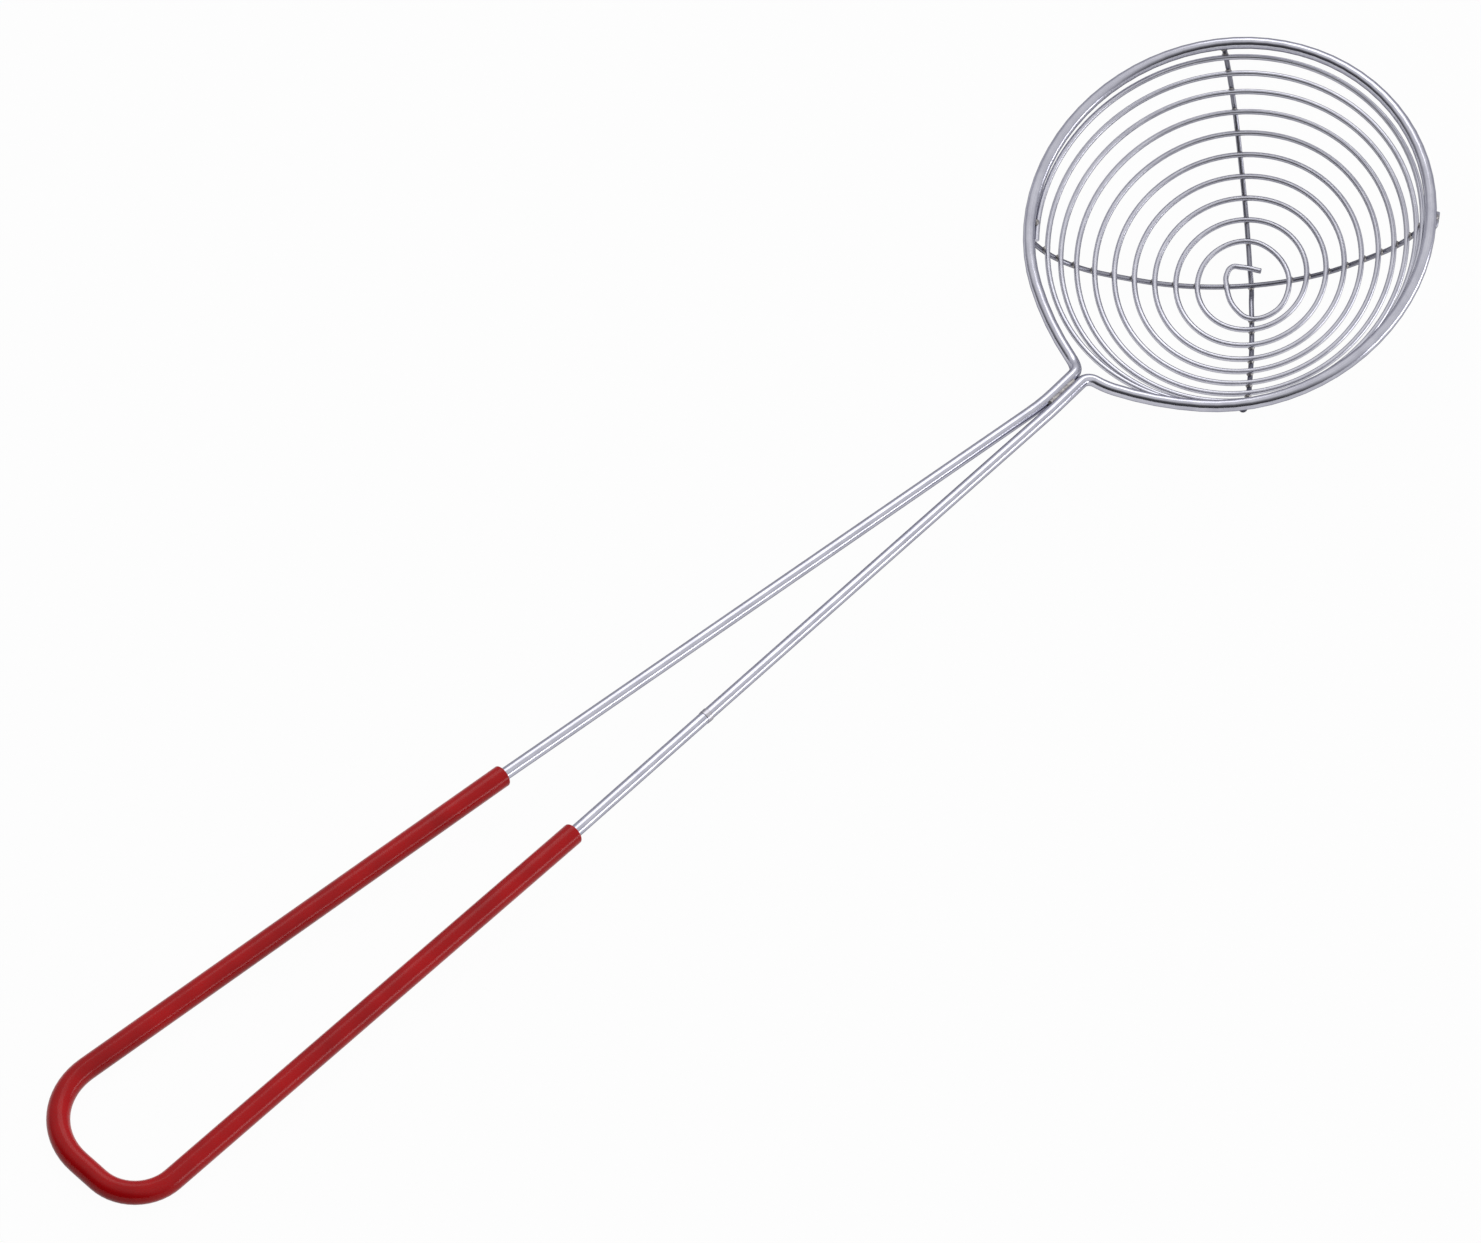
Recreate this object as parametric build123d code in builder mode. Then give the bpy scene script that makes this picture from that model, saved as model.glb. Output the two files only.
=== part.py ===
from build123d import *
import math
import os

os.makedirs("parts", exist_ok=True)

# A wire skimmer lies on a table: its round basket leans back towards the
# handle, and the closed end of the long looped handle touches down behind.
# X runs across the handle and the handle points to -Y. All lengths are in
# millimetres, all angles in degrees, and wires are placed by their centrelines.

# Thick wire of the rim, the neck and the handle
rim_radius = 58.25
frame_wire_diameter = 3.5
ring_ease_angle = 33.0
ring_ease = 2.4
neck_half_width = 8.0
neck_run = 7.0
neck_shift = 1.3
seam_length = 14.0
seam_bend_radius = 70.0
handle_rise = 21.6
leg_reach = 225.0
leg_spread = 13.5
mouth_bend_radius = 400.0
grip_reach = 355.0
grip_spread = 19.5
loop_reach = 390.3
right_corner_radius = 13.0
left_corner_radius = 20.0

# Soft sleeve drawn over the handle loop
sleeve_diameter = 6.2
sleeve_end_rounding = 0.5
sleeve_fit = 0.05

# Thin wires of the basket
spiral_wire_diameter = 1.6
rib_wire_diameter = 1.5
basket_depth = 40.5
bottom_radius = 58.0
bottom_slope = 30.5
flank_radius = 180.0
flank_slope = 34.7
spiral_turns = 10.24
spiral_azimuth = 135.2
spiral_start_run = 6.9
spiral_end_rise = 0.6
first_rib_azimuth = 133.0
second_rib_azimuth = 41.3
rib_cross_right = 0.5
rib_cross_far = 0.4
dip_half_length = 7.0

# The second rib's far end veers aside, passes under the rim and is bent back
# along the outside of it. Leans are taken round the rim from its outermost side.
veer_start = 13.4
veer_end = 4.8
veer_angle = 46.0
veer_step = 3.5
tail_root_angle = 4.4
tail_root_lean = 62.0
tail_tip_angle = 0.9
tail_tip_lean = 50.0
tail_clearance = 0.1

# Resistance welds, left as small fillets of metal
contact_gap = 0.04
crossing_weld_diameter = 2.1
centre_weld_diameter = 2.2
rib_end_weld_diameter = 2.4
seam_weld_diameter = 2.6
seam_weld_length = 12.5
seam_weld_end = 0.7
butt_gap = 0.4
butt_weld_reach = 171.0
butt_weld_length = 2.0
butt_weld_bulge = 0.15

frame_wire_radius = frame_wire_diameter / 2
spiral_wire_radius = spiral_wire_diameter / 2
rib_wire_radius = rib_wire_diameter / 2
sleeve_radius = sleeve_diameter / 2
seam_offset = frame_wire_radius + contact_gap / 2
rib_offset = spiral_wire_radius + rib_wire_radius + contact_gap
weld_offset = spiral_wire_radius + contact_gap / 2


# The basket's meridian is three tangent arcs, each held as the slope where it
# starts, its radius and its centre: (distance from the axis, height over the rim).
def meridian_arcs():
    first = (0.0, bottom_radius, 0.0, bottom_radius - basket_depth)
    sine, cosine = math.sin(math.radians(bottom_slope)), math.cos(math.radians(bottom_slope))
    step = flank_radius - bottom_radius
    second = (bottom_slope, flank_radius, -step * sine, first[3] + step * cosine)
    # The last arc is as large as it must be for the ribs to run into the rim
    sine, cosine = math.sin(math.radians(flank_slope)), math.cos(math.radians(flank_slope))
    out = second[2] + flank_radius * sine - rim_radius
    up = second[3] - flank_radius * cosine
    lean = cosine * up - sine * out
    radius = (rib_offset ** 2 - out ** 2 - up ** 2) / (2 * (lean - rib_offset))
    third = (flank_slope, radius, rim_radius + out - radius * sine, up + radius * cosine)
    return [first, second, third]


arcs = meridian_arcs()
shoulder_slope, shoulder_radius, shoulder_out, shoulder_up = arcs[2]
rim_slope = math.degrees(math.atan2(rim_radius - shoulder_out, shoulder_up))


def basket_section(slope, offset):
    """Point of the meridian with this slope, pushed out of the basket by offset."""
    side = math.copysign(1, slope)
    angle = math.radians(abs(slope))
    start, radius, out, up = [arc for arc in arcs if arc[0] <= abs(slope)][-1]
    return (
        side * (out + (radius + offset) * math.sin(angle)),
        up - (radius + offset) * math.cos(angle),
    )


def arc_at(out):
    """Arc of the meridian at this distance from the basket's axis."""
    return [arc for arc in arcs if arc[2] + arc[1] * math.sin(math.radians(arc[0])) <= out][-1]


def slope_at_run(run):
    """Slope of the meridian at this length of arc from the basket's bottom."""
    for index, (start, radius, out, up) in enumerate(arcs):
        last = index + 1 == len(arcs)
        length = math.inf if last else radius * math.radians(arcs[index + 1][0] - start)
        if run <= length:
            return start + math.degrees(run / radius)
        run = run - length


def run_at_slope(slope):
    """Length of arc from the basket's bottom to this slope."""
    ends = [arc[0] for arc in arcs[1:]] + [180]
    return sum(
        arc[1] * math.radians(min(slope, end) - arc[0])
        for arc, end in zip(arcs, ends)
        if slope > arc[0]
    )


def slope_at_chord(offset, distance):
    """Slope where a wire at this offset comes this near to the rim's centreline."""
    to_wire = shoulder_radius + offset
    to_rim = shoulder_radius + rib_offset
    cosine = (to_wire ** 2 + to_rim ** 2 - distance ** 2) / (2 * to_wire * to_rim)
    return rim_slope - math.degrees(math.acos(cosine))


spiral_end_slope = slope_at_chord(0, frame_wire_radius + spiral_wire_radius + contact_gap)
spiral_end_run = run_at_slope(spiral_end_slope)
spiral_pitch = (spiral_end_run - spiral_end_rise - spiral_start_run) / spiral_turns
last_quarter = spiral_turns - 1 / 4


def spiral_place(turn):
    """Place of the spiral in the basket's frame: it climbs evenly, the end faster."""
    extra = max(0, turn - last_quarter) / (spiral_turns - last_quarter)
    run = spiral_start_run + spiral_pitch * turn + spiral_end_rise * extra ** 2
    out, up = basket_section(slope_at_run(run), 0)
    azimuth = math.radians(spiral_azimuth + 360 * turn)
    return Vector(out * math.cos(azimuth), out * math.sin(azimuth), up)


# Both ribs follow the meridian outside the spiral, in upright planes that meet
# a little beside the basket's axis. The first one dips under the second there.
def rib_frame(azimuth):
    """A rib's direction, the foot of its plane and how far past it the ribs meet."""
    along = Vector(math.cos(math.radians(azimuth)), math.sin(math.radians(azimuth)), 0)
    crossing = Vector(rib_cross_right, rib_cross_far, 0)
    shift = crossing.dot(along)
    return along, crossing - along * shift, shift


def rib_place(azimuth, slope):
    along, foot, shift = rib_frame(azimuth)
    out, up = basket_section(slope, rib_offset)
    return foot + along * out + Vector(0, 0, up)


rib_end_slope = slope_at_chord(rib_offset, frame_wire_radius + contact_gap)
veer_start_slope = slope_at_chord(rib_offset, veer_start)
veer_end_slope = slope_at_chord(rib_offset, veer_end)
dip_slope = math.degrees(math.asin(dip_half_length / (bottom_radius + rib_offset)))
dip_depth = basket_depth + rib_offset + rib_wire_diameter + contact_gap
dip_along, dip_foot, dip_shift = rib_frame(first_rib_azimuth)
dip_place = dip_foot + dip_along * dip_shift - Vector(0, 0, dip_depth)

# At rest the basket tips towards the handle until the loop's end touches the
# table too. The tipping angle comes from halving the range that holds it.
low_turns = [1 + step / 72 for step in range(int((spiral_turns - 1) * 72))]
low_slopes = range(-45, 46)
low_places = [(spiral_place(turn), spiral_wire_radius) for turn in low_turns]
low_places += [(rib_place(second_rib_azimuth, slope), rib_wire_radius) for slope in low_slopes]
low_places += [
    (rib_place(first_rib_azimuth, slope), rib_wire_radius)
    for slope in low_slopes
    if abs(slope) >= dip_slope
]
low_places += [(dip_place, rib_wire_radius)]


def lowest_of_basket(angle):
    sine, cosine = math.sin(math.radians(angle)), math.cos(math.radians(angle))
    return min(place.Y * sine + place.Z * cosine - radius for place, radius in low_places)


def lowest_of_loop(angle):
    drop = rim_radius * math.sin(math.radians(angle))
    slide = loop_reach * math.sin(math.radians(angle - handle_rise))
    return -drop - slide - sleeve_radius


def tip_at_rest():
    low, high = 0, 60
    for halving in range(40):
        middle = (low + high) / 2
        if lowest_of_loop(middle) > lowest_of_basket(middle):
            low = middle
        else:
            high = middle
    return middle


tip = tip_at_rest()
tip_sine, tip_cosine = math.sin(math.radians(tip)), math.cos(math.radians(tip))
rim_height = -lowest_of_loop(tip)
loop_run = loop_reach * math.cos(math.radians(tip - handle_rise))
rim_forward = (loop_run + sleeve_radius - frame_wire_radius) / 2

# The basket's frame has its origin in the middle of the rim, its Z along the
# basket's axis and the handle at -Y. The handle's frame starts on the rim, with
# its X along the handle and its Y across it.
basket_plane = Plane(
    origin=(0, rim_forward, rim_height), x_dir=(1, 0, 0), z_dir=(0, -tip_sine, tip_cosine)
)
rise_sine, rise_cosine = math.sin(math.radians(handle_rise)), math.cos(math.radians(handle_rise))
handle_along = basket_plane.z_dir * rise_sine - basket_plane.y_dir * rise_cosine
handle_plane = Plane(
    origin=basket_plane.from_local_coords(Vector(0, -rim_radius, 0)),
    x_dir=handle_along,
    z_dir=handle_along.cross(basket_plane.x_dir),
)


def on_table(place):
    """A place of the basket's frame, in the frame of the table."""
    return basket_plane.from_local_coords(place)


def turned(heading):
    """A heading of the basket's frame, turned into the frame of the table."""
    return (
        basket_plane.x_dir * heading.X
        + basket_plane.y_dir * heading.Y
        + basket_plane.z_dir * heading.Z
    )


def biarc(start, start_heading, end, end_heading):
    """Two arcs that leave start and reach end on the given headings."""
    chord = end - start
    square = chord.dot(chord)
    lean = chord.dot(start_heading + end_heading)
    spare = 2 * (1 - start_heading.dot(end_heading))
    reach = square / (math.sqrt(lean ** 2 + spare * square) + lean)
    joint = (start + end + (start_heading - end_heading) * reach) / 2
    TangentArc(start, joint, tangent=start_heading)
    TangentArc(joint, end, tangent=(end - end_heading * reach) - joint)


# Frame wire: one thick wire makes the ring, turns out at the neck, runs down
# both legs and round the handle loop, and its two ends meet in a butt weld
grip_lean = (grip_spread - leg_spread) / (grip_reach - leg_reach)
corner_spread = leg_spread + grip_lean * (loop_reach - leg_reach)
seam_end = neck_run + seam_length
leg_lean = (leg_spread - seam_offset) / (leg_reach - seam_end)
butt_spread = seam_offset + leg_lean * (butt_weld_reach - seam_end)
butt_spot = Vector(butt_weld_reach, butt_spread, 0)
butt_heading = Vector(1, leg_lean, 0).normalized()
butt_far = butt_spot + butt_heading * (butt_gap / 2)
butt_near = butt_spot - butt_heading * (butt_gap / 2)
neck_azimuth = math.degrees(math.asin(neck_half_width / rim_radius))
rim_start = 270 - ring_ease_angle
rim_end = ring_ease_angle - 90


def rim_place(azimuth, ease=0):
    angle = math.radians(azimuth)
    out = rim_radius + ease
    return on_table(Vector(out * math.cos(angle), out * math.sin(angle), 0))


def rim_heading(azimuth):
    return turned(Vector(-math.sin(math.radians(azimuth)), math.cos(math.radians(azimuth)), 0))


with BuildLine(handle_plane) as long_run:
    FilletPolyline(
        (butt_far.X, butt_far.Y),
        (leg_reach, leg_spread),
        (loop_reach, corner_spread),
        (loop_reach, -corner_spread),
        (leg_reach, -leg_spread),
        (seam_end, -seam_offset),
        (neck_run, -seam_offset - neck_shift),
        radius=[
            mouth_bend_radius,
            right_corner_radius,
            left_corner_radius,
            mouth_bend_radius,
            seam_bend_radius,
        ],
    )

with BuildLine(handle_plane) as short_run:
    FilletPolyline(
        (neck_run, seam_offset - neck_shift),
        (seam_end, seam_offset),
        (butt_near.X, butt_near.Y),
        radius=[seam_bend_radius],
    )

seam_heading = Vector(seam_length, neck_shift, 0).normalized()
seam_along = handle_plane.x_dir * seam_heading.X + handle_plane.y_dir * seam_heading.Y
left_neck = handle_plane.from_local_coords(Vector(neck_run, -seam_offset - neck_shift, 0))
right_neck = handle_plane.from_local_coords(Vector(neck_run, seam_offset - neck_shift, 0))

# The ring eases outwards on both sides before the tight bends of the neck
with BuildLine() as ring:
    ThreePointArc(rim_place(rim_start), rim_place(180), rim_place(90))
    ThreePointArc(rim_place(90), rim_place(0), rim_place(rim_end))
    left_ease = TangentArc(
        rim_place(rim_start),
        rim_place(270 - neck_azimuth, ring_ease),
        tangent=rim_heading(rim_start),
    )
    right_ease = TangentArc(
        rim_place(rim_end),
        rim_place(270 + neck_azimuth, ring_ease),
        tangent=-rim_heading(rim_end),
    )
    biarc(left_ease @ 1, left_ease % 1, left_neck, seam_along)
    biarc(right_ease @ 1, right_ease % 1, right_neck, seam_along)

frame_path = Wire(long_run.edges() + ring.edges() + short_run.edges())

with BuildPart() as frame_wire:
    with BuildSketch(Plane(origin=frame_path @ 0, z_dir=frame_path % 0)):
        Circle(frame_wire_radius)
    sweep(path=frame_path)
frame_wire.part.label = "frame_wire"
export_step(frame_wire.part, "parts/frame_wire.step")

# Grip sleeve: a soft tube drawn over the loop before the wire's ends are joined
with BuildLine(handle_plane) as sleeve_run:
    FilletPolyline(
        (leg_reach, leg_spread),
        (loop_reach, corner_spread),
        (loop_reach, -corner_spread),
        (leg_reach, -leg_spread),
        radius=[right_corner_radius, left_corner_radius],
    )
sleeve_path = sleeve_run.wires()[0]

with BuildPart() as grip_sleeve:
    with BuildSketch(Plane(origin=sleeve_path @ 0, z_dir=sleeve_path % 0)):
        Circle(sleeve_radius)
        Circle(frame_wire_radius + sleeve_fit, mode=Mode.SUBTRACT)
    sweep(path=sleeve_path)
    mouths = [
        edge
        for edge in grip_sleeve.edges().filter_by(GeomType.CIRCLE)
        if math.isclose(edge.radius, sleeve_radius, rel_tol=1e-4)
        and min((edge.arc_center - spot).length for spot in (sleeve_path @ 0, sleeve_path @ 1))
        < sleeve_fit
    ]
    fillet(mouths, sleeve_end_rounding)
grip_sleeve.part.label = "grip_sleeve"
export_step(grip_sleeve.part, "parts/grip_sleeve.step")


# Basket spiral: one thin wire starts in a bent hook in the middle and climbs
# the basket to the inside of the rim, in pairs of arcs for each quarter turn
def on_basket(x, y):
    """Place of the basket's surface over this spot of its plan."""
    out = math.hypot(x, y)
    start, radius, centre_out, centre_up = arc_at(out)
    return Vector(x, y, centre_up - math.sqrt(radius ** 2 - (out - centre_out) ** 2))


# The hook's corners are shares of the radius of the first full turn
hook_corner_shares = [
    (0.04, 0.40),
    (-0.34, 0.23),
    (-0.54, 0.07),
    (-0.50, -0.15),
    (-0.31, -0.36),
    (0.15, -0.64),
    (0.66, -0.65),
    (0.99, -0.21),
    (0.85, 0.44),
    (0.18, 0.88),
]
first_turn = spiral_place(1)
first_turn_radius = math.hypot(first_turn.X, first_turn.Y)
arc_count = math.ceil((spiral_turns - 1) * 4)
arc_shares = [0] + [(index + 1 / 4) / arc_count for index in range(arc_count)] + [1]
arc_turns = [1 + (spiral_turns - 1) * share for share in arc_shares]
spiral_places = [
    on_basket(x_share * first_turn_radius, y_share * first_turn_radius)
    for x_share, y_share in hook_corner_shares
]
spiral_places += [spiral_place(turn) for turn in arc_turns]
spiral_headings = [(spiral_places[1] - spiral_places[0]).normalized()]
for before, here, after in zip(spiral_places, spiral_places[1:], spiral_places[2:]):
    entry, leaving = here - before, after - here
    heading = entry.normalized() * leaving.length + leaving.normalized() * entry.length
    spiral_headings.append(heading.normalized())
turn_step = 1e-4
spiral_headings[len(hook_corner_shares):] = [
    (spiral_place(turn + turn_step) - spiral_place(turn - turn_step)).normalized()
    for turn in arc_turns
]

with BuildLine() as spiral_run:
    for index in range(len(spiral_places) - 1):
        biarc(
            on_table(spiral_places[index]),
            turned(spiral_headings[index]),
            on_table(spiral_places[index + 1]),
            turned(spiral_headings[index + 1]),
        )
spiral_path = spiral_run.wires()[0]

with BuildPart() as basket_spiral:
    with BuildSketch(Plane(origin=spiral_path @ 0, z_dir=spiral_path % 0)):
        Circle(spiral_wire_radius)
    sweep(path=spiral_path)
basket_spiral.part.label = "basket_spiral"
export_step(basket_spiral.part, "parts/basket_spiral.step")

# The least gap between neighbouring turns, measured on points of the formula
steps_in_turn = 36
gap_steps = range(int((spiral_turns - 1) * steps_in_turn) + 1)
gap_places = [spiral_place(1 + step / steps_in_turn) for step in gap_steps]
least_spacing = min(
    (place - other).length
    for index, place in enumerate(gap_places)
    for other in gap_places[index + steps_in_turn // 2:index + steps_in_turn * 3 // 2]
)
print("least gap of the spiral to itself:", round(least_spacing - spiral_wire_diameter, 2))


# Ribs: two thin wires cross under the spiral and carry it up to the rim
def rib_heading(azimuth, slope):
    along = rib_frame(azimuth)[0]
    angle = math.radians(slope)
    return turned(along * math.cos(angle) + Vector(0, 0, math.sin(angle)))


def meridian_run(azimuth, low, high):
    """Arcs of a rib between two slopes, one for each arc of the meridian."""
    bounds = [-flank_slope, -bottom_slope, bottom_slope, flank_slope]
    stops = [low] + [bound for bound in bounds if low < bound < high] + [high]
    for start, stop in zip(stops, stops[1:]):
        slopes = (start, (start + stop) / 2, stop)
        ThreePointArc(*[on_table(rib_place(azimuth, slope)) for slope in slopes])


dip_spot = on_table(dip_place)
dip_heading = turned(dip_along)

with BuildLine() as under_rib_run:
    meridian_run(first_rib_azimuth, -rib_end_slope, -dip_slope)
    biarc(
        on_table(rib_place(first_rib_azimuth, -dip_slope)),
        rib_heading(first_rib_azimuth, -dip_slope),
        dip_spot,
        dip_heading,
    )
    biarc(
        dip_spot,
        dip_heading,
        on_table(rib_place(first_rib_azimuth, dip_slope)),
        rib_heading(first_rib_azimuth, dip_slope),
    )
    meridian_run(first_rib_azimuth, dip_slope, rib_end_slope)
under_rib_path = under_rib_run.wires()[0]

with BuildPart() as under_rib:
    with BuildSketch(Plane(origin=under_rib_path @ 0, z_dir=under_rib_path % 0)):
        Circle(rib_wire_radius)
    sweep(path=under_rib_path)
under_rib.part.label = "under_rib"
export_step(under_rib.part, "parts/under_rib.step")


def beside_rim(azimuth, lean, reach):
    """Place this far from the rim's centreline, outside and lean degrees under it."""
    out = rim_radius + reach * math.cos(math.radians(lean))
    angle = math.radians(azimuth)
    fall = reach * math.sin(math.radians(lean))
    return on_table(Vector(out * math.cos(angle), out * math.sin(angle), -fall))


tail_root = second_rib_azimuth - tail_root_angle
tail_tip = second_rib_azimuth - tail_tip_angle
tail_middle = (tail_root + tail_tip) / 2
tail_middle_lean = (tail_root_lean + tail_tip_lean) / 2
tail_reach = frame_wire_radius + rib_wire_radius + tail_clearance
veer_azimuth = second_rib_azimuth - math.degrees(veer_step / rim_radius)


def veered(heading, azimuth, angle):
    """A heading swung back along the rim, towards lower azimuths."""
    turn = math.radians(angle)
    return heading * math.cos(turn) - rim_heading(azimuth) * math.sin(turn)


with BuildLine() as tail_run:
    tail_arc = ThreePointArc(
        beside_rim(tail_root, tail_root_lean, tail_reach),
        beside_rim(tail_middle, tail_middle_lean, tail_reach),
        beside_rim(tail_tip, tail_tip_lean, tail_reach),
    )

veer_spot = on_table(rib_place(veer_azimuth, veer_end_slope))
veer_heading = veered(rib_heading(veer_azimuth, veer_end_slope), veer_azimuth, veer_angle)

with BuildLine() as over_rib_run:
    meridian_run(second_rib_azimuth, -rib_end_slope, veer_start_slope)
    biarc(
        on_table(rib_place(second_rib_azimuth, veer_start_slope)),
        rib_heading(second_rib_azimuth, veer_start_slope),
        veer_spot,
        veer_heading,
    )
    biarc(veer_spot, veer_heading, tail_arc @ 0, tail_arc % 0)
    add(tail_arc)
over_rib_path = over_rib_run.wires()[0]

with BuildPart() as over_rib:
    with BuildSketch(Plane(origin=over_rib_path @ 0, z_dir=over_rib_path % 0)):
        Circle(rib_wire_radius)
    sweep(path=over_rib_path)
over_rib.part.label = "over_rib"
export_step(over_rib.part, "parts/over_rib.step")


# Crossing welds: a small fillet of metal wherever the spiral lies on a rib,
# found where the spiral's path passes through the rib's plane
def distance_to_plane(share, foot, across):
    return (basket_plane.to_local_coords(spiral_path @ share) - foot).dot(across)


def crossing_spots(azimuth, least_reach, most_reach):
    """Spots between the spiral and a rib, within these reaches from where ribs cross.
    The spiral's last stretch is left out, since the rim weld there takes its place."""
    along, foot, shift = rib_frame(azimuth)
    across = Vector(-along.Y, along.X, 0)
    step_count = int(spiral_turns * steps_in_turn)
    shares = [step / step_count for step in range(step_count - steps_in_turn // 4)]
    sides = [distance_to_plane(share, foot, across) for share in shares]
    spots = []
    for share, side, next_side in zip(shares, sides, sides[1:]):
        if side * next_side > 0:
            continue
        low, high = share, share + 1 / step_count
        for halving in range(20):
            middle = (low + high) / 2
            if distance_to_plane(middle, foot, across) * side > 0:
                low = middle
            else:
                high = middle
        place = basket_plane.to_local_coords(spiral_path @ middle)
        reach = (place - foot).dot(along) - shift
        if abs(reach) < least_reach or reach > most_reach:
            continue
        out = math.hypot(place.X, place.Y)
        start, radius, centre_out, centre_up = arc_at(out)
        slope = math.asin((out - centre_out) / radius)
        outward = Vector(place.X / out, place.Y / out, 0) * math.sin(slope)
        outward = outward - Vector(0, 0, math.cos(slope))
        spots.append(Plane(origin=on_table(place + outward * weld_offset), z_dir=turned(outward)))
    return spots


def welds(spots, diameter, wires):
    """A ball of metal at each spot, less the wires that it joins."""
    nuggets = []
    for spot in spots:
        with BuildPart() as nugget:
            with Locations(spot):
                Sphere(diameter / 2)
            for wire in wires:
                add(wire.part, mode=Mode.SUBTRACT)
        nuggets.append(nugget.part)
    return nuggets


veer_start_out = basket_section(veer_start_slope, rib_offset)[0]
under_spots = crossing_spots(first_rib_azimuth, dip_half_length, rim_radius)
over_spots = crossing_spots(second_rib_azimuth, centre_weld_diameter, veer_start_out)

under_balls = welds(under_spots, crossing_weld_diameter, [under_rib, basket_spiral])
over_balls = welds(over_spots, crossing_weld_diameter, [over_rib, basket_spiral])

with BuildPart() as under_rib_welds:
    add(under_balls)
under_rib_welds.part.label = "under_rib_welds"
export_step(under_rib_welds.part, "parts/under_rib_welds.step")

with BuildPart() as over_rib_welds:
    add(over_balls)
over_rib_welds.part.label = "over_rib_welds"
export_step(over_rib_welds.part, "parts/over_rib_welds.step")

# Centre weld: it joins the two ribs where they cross
centre_place = dip_place + Vector(0, 0, rib_wire_radius + contact_gap / 2)
centre_spot = Plane(origin=on_table(centre_place), z_dir=basket_plane.z_dir)
centre_ball = welds([centre_spot], centre_weld_diameter, [over_rib, under_rib])

with BuildPart() as centre_weld:
    add(centre_ball)
centre_weld.part.label = "centre_weld"
export_step(centre_weld.part, "parts/centre_weld.step")

# Rim welds: three rib ends, the bent tail and the spiral's end against the rim
tail_spot = beside_rim(tail_middle, tail_middle_lean, frame_wire_radius + tail_clearance / 2)
spiral_weld_turn = spiral_turns - 1 / 64
spiral_weld_azimuth = spiral_azimuth + 360 * spiral_weld_turn
spiral_weld_start = on_table(spiral_place(spiral_weld_turn))
toward_rim = (rim_place(spiral_weld_azimuth) - spiral_weld_start).normalized()
end_spots = [
    Plane(origin=under_rib_path @ 0, z_dir=under_rib_path % 0),
    Plane(origin=under_rib_path @ 1, z_dir=under_rib_path % 1),
    Plane(origin=over_rib_path @ 0, z_dir=over_rib_path % 0),
    Plane(origin=tail_spot, z_dir=rim_place(tail_middle) - tail_spot),
    Plane(origin=spiral_weld_start + toward_rim * weld_offset, z_dir=toward_rim),
]

end_balls = welds(
    end_spots, rib_end_weld_diameter, [frame_wire, under_rib, over_rib, basket_spiral]
)

with BuildPart() as rim_welds:
    add(end_balls)
rim_welds.part.label = "rim_welds"
export_step(rim_welds.part, "parts/rim_welds.step")

# Neck weld: a bead of metal in the groove between the two necks of the wire
seam_spot = Vector(neck_run + seam_length / 2, -neck_shift / 2, 0)
seam_middle = handle_plane.from_local_coords(seam_spot)
with BuildPart() as neck_weld:
    with Locations(Plane(origin=seam_middle, z_dir=seam_along)):
        Cylinder(seam_weld_diameter / 2, seam_weld_length)
    chamfer(neck_weld.edges().filter_by(GeomType.CIRCLE), seam_weld_end)
    add(frame_wire.part, mode=Mode.SUBTRACT)
neck_weld.part.label = "neck_weld"
export_step(neck_weld.part, "parts/neck_weld.step")

# Butt weld: a low collar and the metal between the two ends of the frame wire
butt_middle = handle_plane.from_local_coords(butt_spot)
butt_normal = handle_plane.x_dir * butt_heading.X + handle_plane.y_dir * butt_heading.Y
with BuildPart() as butt_weld:
    with Locations(Plane(origin=butt_middle, z_dir=butt_normal)):
        Cylinder(frame_wire_radius + butt_weld_bulge, butt_weld_length)
    chamfer(butt_weld.edges().filter_by(GeomType.CIRCLE), butt_weld_bulge / 2)
    add(frame_wire.part, mode=Mode.SUBTRACT)
butt_weld.part.label = "butt_weld"
export_step(butt_weld.part, "parts/butt_weld.step")
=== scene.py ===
import math

import bpy
from mathutils import Euler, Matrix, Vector


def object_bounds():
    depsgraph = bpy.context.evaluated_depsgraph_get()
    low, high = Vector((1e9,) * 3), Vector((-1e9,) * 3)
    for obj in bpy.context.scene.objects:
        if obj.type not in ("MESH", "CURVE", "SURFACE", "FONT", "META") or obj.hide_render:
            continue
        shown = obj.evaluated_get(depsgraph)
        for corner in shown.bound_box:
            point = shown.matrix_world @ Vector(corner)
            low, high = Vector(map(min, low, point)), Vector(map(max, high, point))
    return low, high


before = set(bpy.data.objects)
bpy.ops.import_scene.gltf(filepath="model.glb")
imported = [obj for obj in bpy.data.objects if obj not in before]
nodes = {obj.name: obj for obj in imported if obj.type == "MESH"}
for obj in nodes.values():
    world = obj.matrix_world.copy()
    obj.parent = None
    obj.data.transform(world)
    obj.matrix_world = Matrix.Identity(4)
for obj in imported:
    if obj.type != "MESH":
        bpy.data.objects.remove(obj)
cad_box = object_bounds()

# Frame wire: one length of 3.5 mm stainless steel, bent into the ring, the neck,
# two legs and the handle loop. It was drawn through a die, so it is bright, with
# fine lines that run along it.
mm = 0.001
ring_tip = math.radians(23.95)
ring_axis = Vector((0.0, -math.sin(ring_tip), math.cos(ring_tip)))
# Cycles' noise seldom leaves this band, so a full change of tone lies within it
noise_low = 0.35
noise_high = 0.65


def linear(hex_colour):
    """An sRGB hex colour, as the linear RGBA that a shader socket takes."""
    shares = [int(hex_colour[i:i + 2], 16) / 255 for i in (1, 3, 5)]
    return tuple(
        s / 12.92 if s <= 0.04045 else ((s + 0.055) / 1.055) ** 2.4 for s in shares
    ) + (1.0,)


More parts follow.
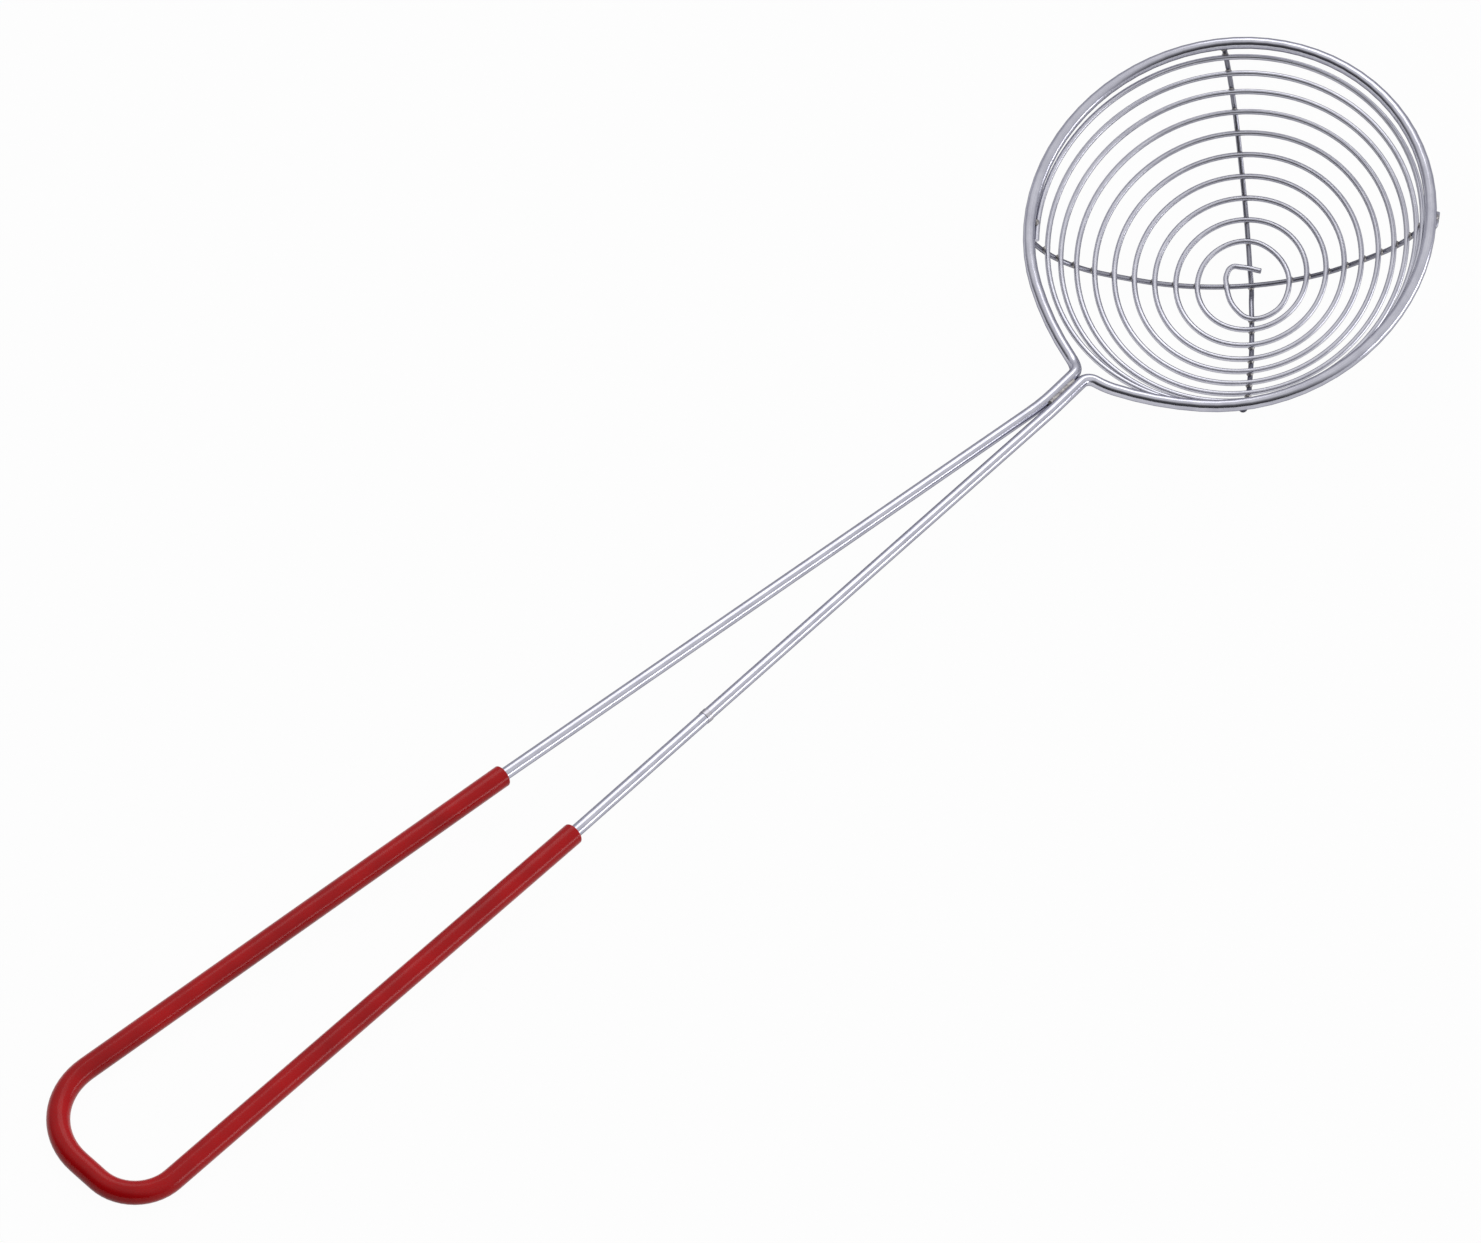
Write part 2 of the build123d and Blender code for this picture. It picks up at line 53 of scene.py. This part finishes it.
def node(tree, kind, settings=None, inputs=None):
    """A shader node with its settings. Inputs are values, or (node, output) to link."""
    made = tree.nodes.new(kind)
    for name, value in (settings or {}).items():
        setattr(made, name, value)
    for name, value in (inputs or {}).items():
        if isinstance(value, tuple) and isinstance(value[0], bpy.types.Node):
            tree.links.new(value[0].outputs[value[1]], made.inputs[name])
        else:
            made.inputs[name].default_value = value
    return made


def drawn_steel(name, dark, light, edge, smooth, rough, grain_depth):
    """Drawn stainless steel: a tight bright shine with long faint streaks. A streak
    keeps to one side of its wire, so it follows how far that side faces the axis of
    the ring."""
    streak_scale = 12.0
    patch_length = 6 * mm
    patch_share = 0.4
    grain_size = 0.8 * mm
    material = bpy.data.materials.new(name)
    material.use_nodes = True
    tree = material.node_tree
    tree.nodes.clear()
    place = node(tree, "ShaderNodeTexCoord")
    facing = node(tree, "ShaderNodeNewGeometry")
    side = node(
        tree,
        "ShaderNodeVectorMath",
        {"operation": "DOT_PRODUCT"},
        {0: (facing, "Normal"), 1: ring_axis},
    )
    # Die lines are some 0.02 mm apart, drawn several times as coarse so that they show
    streaks = node(
        tree,
        "ShaderNodeTexNoise",
        {"noise_dimensions": "1D"},
        {"W": (side, "Value"), "Scale": streak_scale, "Detail": 1.0, "Roughness": 0.5},
    )
    # Handling marks and traces of drawing soap, in patches a few millimetres long
    patches = node(
        tree,
        "ShaderNodeTexNoise",
        {},
        {
            "Vector": (place, "Object"),
            "Scale": 1 / patch_length,
            "Detail": 4.0,
            "Roughness": 0.6,
        },
    )
    # Fine waviness of the drawn skin
    grain = node(
        tree,
        "ShaderNodeTexNoise",
        {},
        {"Vector": (place, "Object"), "Scale": 1 / grain_size, "Detail": 1.0},
    )
    mixed = node(
        tree,
        "ShaderNodeMix",
        {"data_type": "FLOAT"},
        {"Factor": patch_share, "A": (streaks, "Fac"), "B": (patches, "Fac")},
    )
    colour = node(tree, "ShaderNodeValToRGB", {}, {"Fac": (mixed, "Result")})
    colour.color_ramp.elements[0].position = noise_low
    colour.color_ramp.elements[0].color = linear(dark)
    colour.color_ramp.elements[1].position = noise_high
    colour.color_ramp.elements[1].color = linear(light)
    gloss = node(
        tree,
        "ShaderNodeMapRange",
        {},
        {
            "Value": (mixed, "Result"),
            "From Min": noise_low,
            "From Max": noise_high,
            "To Min": rough,
            "To Max": smooth,
        },
    )
    grain_bump = node(
        tree,
        "ShaderNodeBump",
        {},
        {"Height": (grain, "Fac"), "Strength": 0.1, "Distance": grain_depth},
    )
    steel = node(
        tree,
        "ShaderNodeBsdfPrincipled",
        {},
        {
            "Base Color": (colour, "Color"),
            "Metallic": 1.0,
            "Roughness": (gloss, "Result"),
            "Specular Tint": linear(edge),
            "Normal": (grain_bump, "Normal"),
        },
    )
    node(tree, "ShaderNodeOutputMaterial", {}, {"Surface": (steel, "BSDF")})
    return material


def dress(name, material):
    """Gives a CAD node its material."""
    mesh = nodes[name].data
    mesh.materials.clear()
    mesh.materials.append(material)


dress(
    "frame_wire",
    drawn_steel(
        "drawn_stainless_bright",
        dark="#A6A6B2",
        light="#C6C6D0",
        edge="#8E8E98",
        smooth=0.15,
        rough=0.24,
        grain_depth=0.02 * mm,
    ),
)

# Grip sleeve: soft vinyl tube in deep red, extruded and drawn over the loop. Its
# skin is half glossy, with faint flow lines along it and a fine orange peel.
flow_scale = 7.0
flow_share = 0.4
peel_size = 0.9 * mm
peel_depth = 0.04 * mm
cloud_size = 14 * mm
vinyl_low = 0.3
vinyl_high = 0.7
sleeve_material = bpy.data.materials.new("extruded_vinyl_red")
sleeve_material.use_nodes = True
vinyl = sleeve_material.node_tree
vinyl.nodes.clear()
place = node(vinyl, "ShaderNodeTexCoord")
facing = node(vinyl, "ShaderNodeNewGeometry")
side = node(
    vinyl,
    "ShaderNodeVectorMath",
    {"operation": "DOT_PRODUCT"},
    {0: (facing, "Normal"), 1: (0.0, 0.0, 1.0)},
)
# Flow lines of the extrusion, which only show as bands of more or less gloss
flow = node(
    vinyl,
    "ShaderNodeTexNoise",
    {"noise_dimensions": "1D"},
    {"W": (side, "Value"), "Scale": flow_scale, "Detail": 2.0},
)
peel = node(
    vinyl,
    "ShaderNodeTexNoise",
    {},
    {"Vector": (place, "Object"), "Scale": 1 / peel_size, "Detail": 3.0, "Roughness": 0.55},
)
# Slow clouds of deeper and lighter red, as the pigment spread in the melt
cloud = node(
    vinyl,
    "ShaderNodeTexNoise",
    {},
    {"Vector": (place, "Object"), "Scale": 1 / cloud_size, "Detail": 3.0},
)
shade = node(vinyl, "ShaderNodeValToRGB", {}, {"Fac": (cloud, "Fac")})
shade.color_ramp.elements[0].position = vinyl_low
shade.color_ramp.elements[0].color = linear("#920308")
shade.color_ramp.elements[1].position = vinyl_high
shade.color_ramp.elements[1].color = linear("#AA060B")
sheen = node(
    vinyl,
    "ShaderNodeMix",
    {"data_type": "FLOAT"},
    {"Factor": flow_share, "A": (peel, "Fac"), "B": (flow, "Fac")},
)
gloss = node(
    vinyl,
    "ShaderNodeMapRange",
    {},
    {
        "Value": (sheen, "Result"),
        "From Min": vinyl_low,
        "From Max": vinyl_high,
        "To Min": 0.18,
        "To Max": 0.26,
    },
)
peel_bump = node(
    vinyl,
    "ShaderNodeBump",
    {},
    {"Height": (peel, "Fac"), "Strength": 0.25, "Distance": peel_depth},
)
skin = node(
    vinyl,
    "ShaderNodeBsdfPrincipled",
    {},
    {
        "Base Color": (shade, "Color"),
        "Roughness": (gloss, "Result"),
        "IOR": 1.53,
        "Specular IOR Level": 0.16,
        "Normal": (peel_bump, "Normal"),
    },
)
node(vinyl, "ShaderNodeOutputMaterial", {}, {"Surface": (skin, "BSDF")})
dress("grip_sleeve", sleeve_material)

# Basket wires: a 1.6 mm spiral on two 1.5 mm ribs, all drawn stainless steel with
# a satin skin, because thin wire is drawn drier. The ribs get a darker copy of that
# steel, which is painted shade for their lying under the spiral.
dress(
    "basket_spiral",
    drawn_steel(
        "drawn_stainless_satin",
        dark="#B0B0BB",
        light="#D0D0D9",
        edge="#5E5E67",
        smooth=0.24,
        rough=0.34,
        grain_depth=0.01 * mm,
    ),
)
# Painted shade: the rib steel is the same steel in darker colours and a darker edge,
# standing in for the shade under the spiral
rib_steel_painted_shade = drawn_steel(
    "drawn_stainless_rib_painted_shade",
    dark="#82828C",
    light="#9E9EA8",
    edge="#54545C",
    smooth=0.22,
    rough=0.34,
    grain_depth=0.01 * mm,
)
dress("over_rib", rib_steel_painted_shade)
dress("under_rib", rib_steel_painted_shade)

# Welds: nuggets squeezed out where the wires were pressed together under current,
# and beads at the neck and at the joint of the frame wire. Bare weld metal is
# dull and pitted, with a straw to grey oxide.
oxide_size = 1.6 * mm
oxide_low = 0.3
oxide_high = 0.7
pit_size = 0.35 * mm
pit_depth = 0.06 * mm
weld_material = bpy.data.materials.new("stainless_weld_metal")
weld_material.use_nodes = True
weld = weld_material.node_tree
weld.nodes.clear()
place = node(weld, "ShaderNodeTexCoord")
oxide = node(
    weld,
    "ShaderNodeTexNoise",
    {},
    {"Vector": (place, "Object"), "Scale": 1 / oxide_size, "Detail": 4.0, "Roughness": 0.6},
)
pits = node(
    weld,
    "ShaderNodeTexNoise",
    {},
    {"Vector": (place, "Object"), "Scale": 1 / pit_size, "Detail": 3.0},
)
tint = node(weld, "ShaderNodeValToRGB", {}, {"Fac": (oxide, "Fac")})
tint.color_ramp.elements[0].position = noise_low
tint.color_ramp.elements[0].color = linear("#6E6B70")
tint.color_ramp.elements[1].position = noise_high
tint.color_ramp.elements[1].color = linear("#A5A29F")
gloss = node(
    weld,
    "ShaderNodeMapRange",
    {},
    {
        "Value": (oxide, "Fac"),
        "From Min": oxide_low,
        "From Max": oxide_high,
        "To Min": 0.5,
        "To Max": 0.34,
    },
)
pit_bump = node(
    weld,
    "ShaderNodeBump",
    {},
    {"Height": (pits, "Fac"), "Strength": 0.5, "Distance": pit_depth},
)
bead = node(
    weld,
    "ShaderNodeBsdfPrincipled",
    {},
    {
        "Base Color": (tint, "Color"),
        "Metallic": 1.0,
        "Roughness": (gloss, "Result"),
        "Normal": (pit_bump, "Normal"),
    },
)
node(weld, "ShaderNodeOutputMaterial", {}, {"Surface": (bead, "BSDF")})
for name in ("over_rib_welds", "under_rib_welds", "centre_weld", "rim_welds", "neck_weld"):
    dress(name, weld_material)

# The butt weld was ground down and brushed, so it is nearly as bright as the wire
dress(
    "butt_weld",
    drawn_steel(
        "ground_butt_weld",
        dark="#A3A1A8",
        light="#C4C2C8",
        edge="#8E8E96",
        smooth=0.2,
        rough=0.34,
        grain_depth=0.02 * mm,
    ),
)

# Floor: a plain sheet of pale paper that the skimmer lies on. It looks white to
# the camera and in reflections, and keeps a faint shadow.
floor_half = 12.0
white_share = 0.97
floor_mesh = bpy.data.meshes.new("floor")
floor_mesh.from_pydata(
    [
        (-floor_half, -floor_half, 0.0),
        (floor_half, -floor_half, 0.0),
        (floor_half, floor_half, 0.0),
        (-floor_half, floor_half, 0.0),
    ],
    [],
    [(0, 1, 2, 3)],
)
floor = bpy.data.objects.new("floor", floor_mesh)
bpy.context.scene.collection.objects.link(floor)
paper = bpy.data.materials.new("white_paper_sweep")
paper.use_nodes = True
sheet = paper.node_tree
sheet.nodes.clear()
path = node(sheet, "ShaderNodeLightPath")
matt = node(sheet, "ShaderNodeBsdfDiffuse", {}, {"Color": linear("#B8B8BA")})
glow = node(sheet, "ShaderNodeEmission", {}, {"Color": linear("#FFFFFF"), "Strength": 1.0})
seen = node(
    sheet,
    "ShaderNodeMath",
    {"operation": "MAXIMUM"},
    {0: (path, "Is Camera Ray"), 1: (path, "Is Glossy Ray")},
)
shown = node(
    sheet,
    "ShaderNodeMath",
    {"operation": "MAXIMUM"},
    {0: (seen, "Value"), 1: (path, "Is Transmission Ray")},
)
share = node(
    sheet,
    "ShaderNodeMath",
    {"operation": "MULTIPLY"},
    {0: (shown, "Value"), 1: white_share},
)
both = node(
    sheet,
    "ShaderNodeMixShader",
    {},
    {"Fac": (share, "Value"), 1: (matt, "BSDF"), 2: (glow, "Emission")},
)
node(sheet, "ShaderNodeOutputMaterial", {}, {"Surface": (both, "Shader")})
floor_mesh.materials.append(paper)

# Studio: a white light tent that is open at the front, and two soft boxes behind
# the skimmer, one high at the left and one low at the right. Round wire mirrors
# each box as a bright line, and the room in front as a dark one.
centre = (cad_box[0] + cad_box[1]) / 2


def soft_box(name, spot, width, height, power):
    """A rectangular lamp at this spot, turned to the skimmer."""
    lamp = bpy.data.lights.new(name, "AREA")
    lamp.shape = "RECTANGLE"
    lamp.size = width
    lamp.size_y = height
    lamp.energy = power
    box = bpy.data.objects.new(name, lamp)
    box.location = spot
    box.rotation_euler = (centre - Vector(spot)).to_track_quat("-Z", "Y").to_euler()
    bpy.context.scene.collection.objects.link(box)


soft_box("left_box", (-0.55, 0.75, 1.25), width=1.0, height=0.8, power=4.2)
soft_box("right_box", (1.25, 0.75, 0.22), width=1.2, height=0.36, power=6.2)

tent_front = Vector((0.1, -0.95, -0.3)).normalized()
tent_edge = math.radians(90)
room_edge = math.radians(50)
room_light = 0.1
world = bpy.data.worlds.new("light_tent")
bpy.context.scene.world = world
world.use_nodes = True
tent = world.node_tree
tent.nodes.clear()
way = node(tent, "ShaderNodeTexCoord")
split = node(tent, "ShaderNodeSeparateXYZ", {}, {"Vector": (way, "Generated")})
height = node(tent, "ShaderNodeValToRGB", {}, {"Fac": (split, "Z")})
height.color_ramp.elements[0].position = 0.0
height.color_ramp.elements[0].color = linear("#B4B4BE")
height.color_ramp.elements[1].position = 0.8
height.color_ramp.elements[1].color = linear("#FFFFFF")
# The tent is open at the front, low down, towards the dim room
ahead = node(
    tent,
    "ShaderNodeVectorMath",
    {"operation": "DOT_PRODUCT"},
    {0: (way, "Generated"), 1: tent_front},
)
room = node(
    tent,
    "ShaderNodeMapRange",
    {"interpolation_type": "SMOOTHSTEP"},
    {
        "Value": (ahead, "Value"),
        "From Min": math.cos(tent_edge),
        "From Max": math.cos(room_edge),
        "To Min": 1.0,
        "To Max": room_light,
    },
)
cloth = node(
    tent,
    "ShaderNodeBackground",
    {},
    {"Color": (height, "Color"), "Strength": (room, "Result")},
)
node(tent, "ShaderNodeOutputWorld", {}, {"Surface": (cloth, "Background")})

# Camera: it stands 1.7 m away and looks down on the skimmer over its right side
lens = bpy.data.cameras.new("camera")
lens.sensor_width = 36.0
lens.lens = 145.8474
lens.clip_start = 0.05
lens.clip_end = 20.0
camera = bpy.data.objects.new("camera", lens)
camera.location = (0.6748611, -0.8380678, 1.2655498)
camera.rotation_euler = Euler(
    (math.radians(40.63432), math.radians(-4.22670), math.radians(43.93633)), "XYZ"
)
bpy.context.scene.collection.objects.link(camera)
bpy.context.scene.camera = camera
bpy.context.scene.view_settings.view_transform = "Standard"
